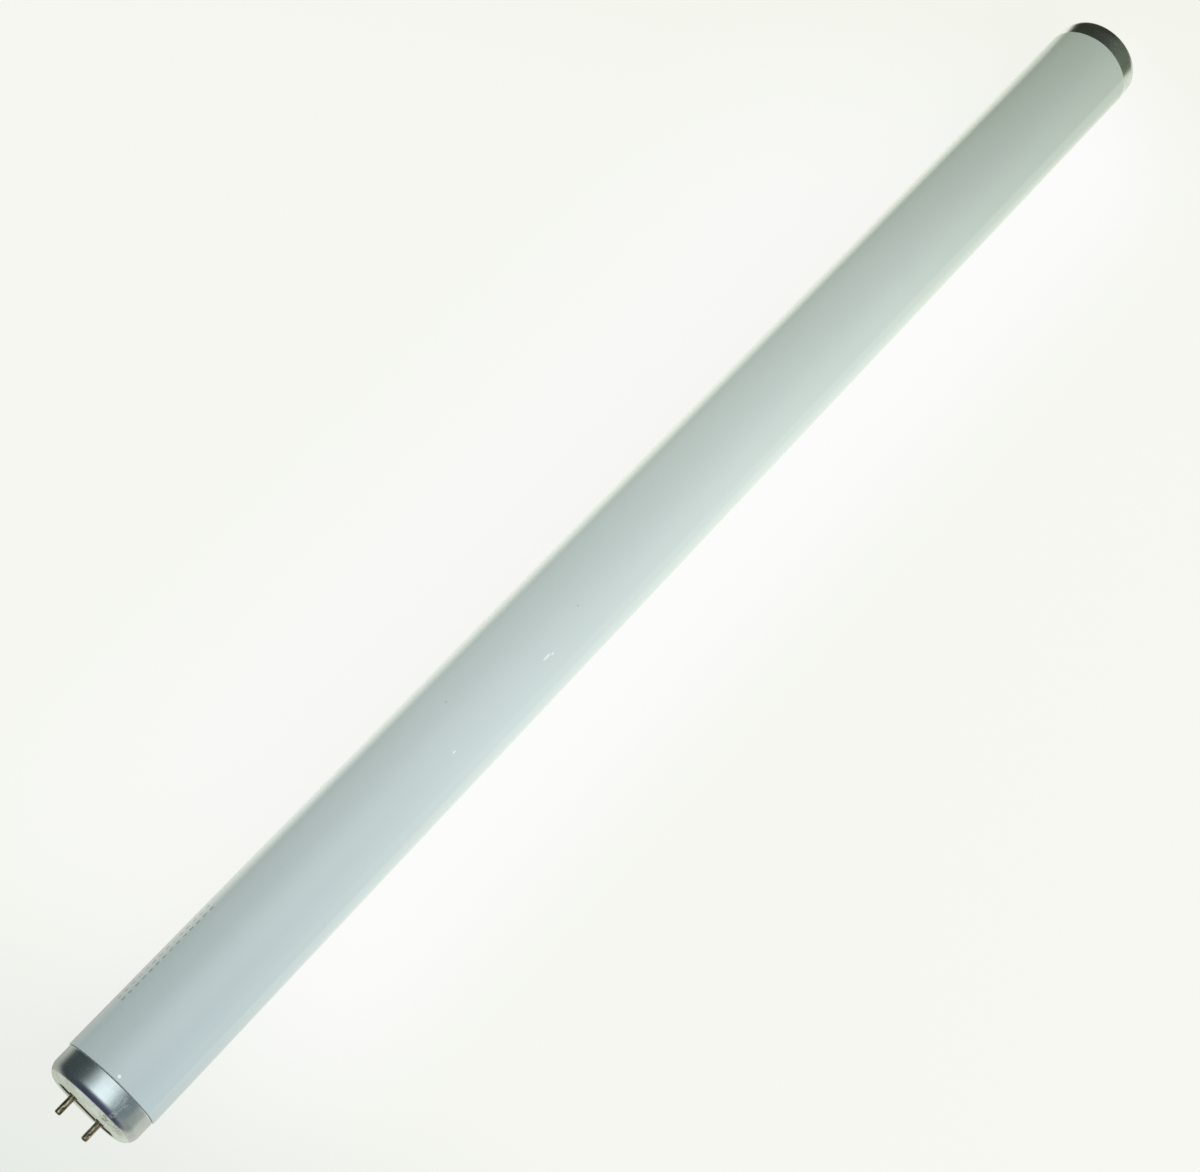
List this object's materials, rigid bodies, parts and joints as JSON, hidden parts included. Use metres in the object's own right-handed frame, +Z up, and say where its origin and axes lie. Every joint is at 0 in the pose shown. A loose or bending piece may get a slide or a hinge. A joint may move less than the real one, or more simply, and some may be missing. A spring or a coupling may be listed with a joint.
{
  "type": "fluorescent tube",
  "caption": "Straight fluorescent lamp: a white coated glass tube closed at each end by a drawn aluminium cap with crimped brass contact pins.",
  "frame": {"origin": "centre of the lamp, on the tube's axis", "axes": "+X along the tube towards the right cap; +Y along the line through each cap's two pins; +Z up, with the lamp lying on its glass"},
  "size_m": [0.604, 0.0376, 0.0374],
  "materials": {
    "coated_glass": "glossy soda-lime glass, coated white inside with phosphor powder",
    "cap_metal": "drawn aluminium, satin, with handling scuffs",
    "cement": "matt basing cement",
    "insulation": "pale pressed insulating board",
    "pin_brass": "tarnished brass",
    "lead_wire": "drawn nickel-iron wire"
  },
  "bodies": {
    "root": {"glass_tube": "coated_glass", "left_end_cap": "cap_metal", "left_cement_ring": "cement", "left_pin_plate": "insulation", "left_front_pin": "pin_brass", "left_front_lead": "lead_wire", "left_back_pin": "pin_brass", "left_back_lead": "lead_wire", "right_end_cap": "cap_metal", "right_cement_ring": "cement", "right_pin_plate": "insulation", "right_front_pin": "pin_brass", "right_front_lead": "lead_wire", "right_back_pin": "pin_brass", "right_back_lead": "lead_wire"}
  },
  "joints": []
}
